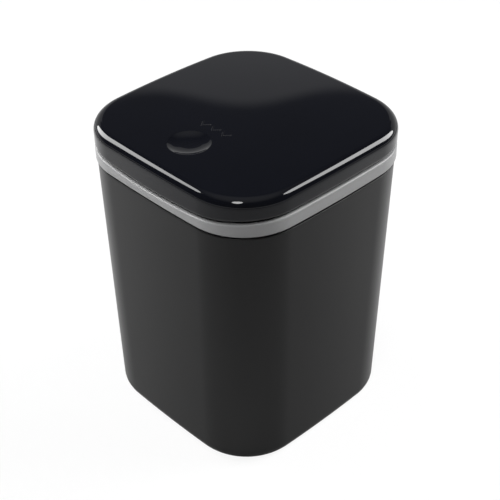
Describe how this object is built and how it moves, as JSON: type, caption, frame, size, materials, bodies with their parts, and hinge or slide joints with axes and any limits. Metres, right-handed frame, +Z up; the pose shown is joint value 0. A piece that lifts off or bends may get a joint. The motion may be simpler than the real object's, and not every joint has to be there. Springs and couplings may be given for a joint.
{
  "type": "desktop trash can",
  "caption": "Small square desktop trash can with rounded corners: tapered black bin, grey lift-off collar and a glossy press-open lid on a sprung rear hinge with a push latch.",
  "frame": {"origin": "middle of the foot, on the surface that the bin stands on", "axes": "+Z up, -Y towards the thumb dish at the front, +Y towards the hinge, X along the hinge"},
  "size_m": [0.1346, 0.1346, 0.1803],
  "materials": {
    "bin_black": "fine satin moulded",
    "collar_grey": "satin moulded",
    "lid_gloss": "mirror gloss",
    "liner_black": "matte moulded",
    "latch_plastic": "waxy natural",
    "pin_steel": "drawn",
    "spring_steel": "drawn wire",
    "screw_steel": "zinc plated"
  },
  "bodies": {
    "bin": {"bin_body": "bin_black"},
    "collar": {"collar_ring": "collar_grey", "hinge_pin": "pin_steel", "hinge_spring_left": "spring_steel", "hinge_spring_right": "spring_steel", "latch_cover": "collar_grey", "latch_cover_screws": "screw_steel", "latch_pivot": "pin_steel"},
    "lid": {"lid_cover": "lid_gloss", "lid_liner": "liner_black", "lid_screws": "screw_steel", "latch_cam": "latch_plastic", "latch_cam_screws": "screw_steel"},
    "follower": {"latch_arm": "latch_plastic"}
  },
  "joints": [
    {"name": "collar_lift", "type": "slide", "parent": "bin", "child": "collar", "axis": [0, 0, 1], "range_m": [0, 0.05]},
    {"name": "lid_hinge", "type": "hinge", "parent": "collar", "child": "lid", "pos_m": [0, 0.0611, 0.1714], "axis": [-1, 0, 0], "range_deg": [-0.5, 78], "deforming": ["hinge_spring_left", "hinge_spring_right"]},
    {"name": "follower_swing", "type": "hinge", "parent": "collar", "child": "follower", "pos_m": [0, -0.052, 0.15625], "axis": [0, 1, 0], "range_deg": [0, 38.9]}
  ]
}
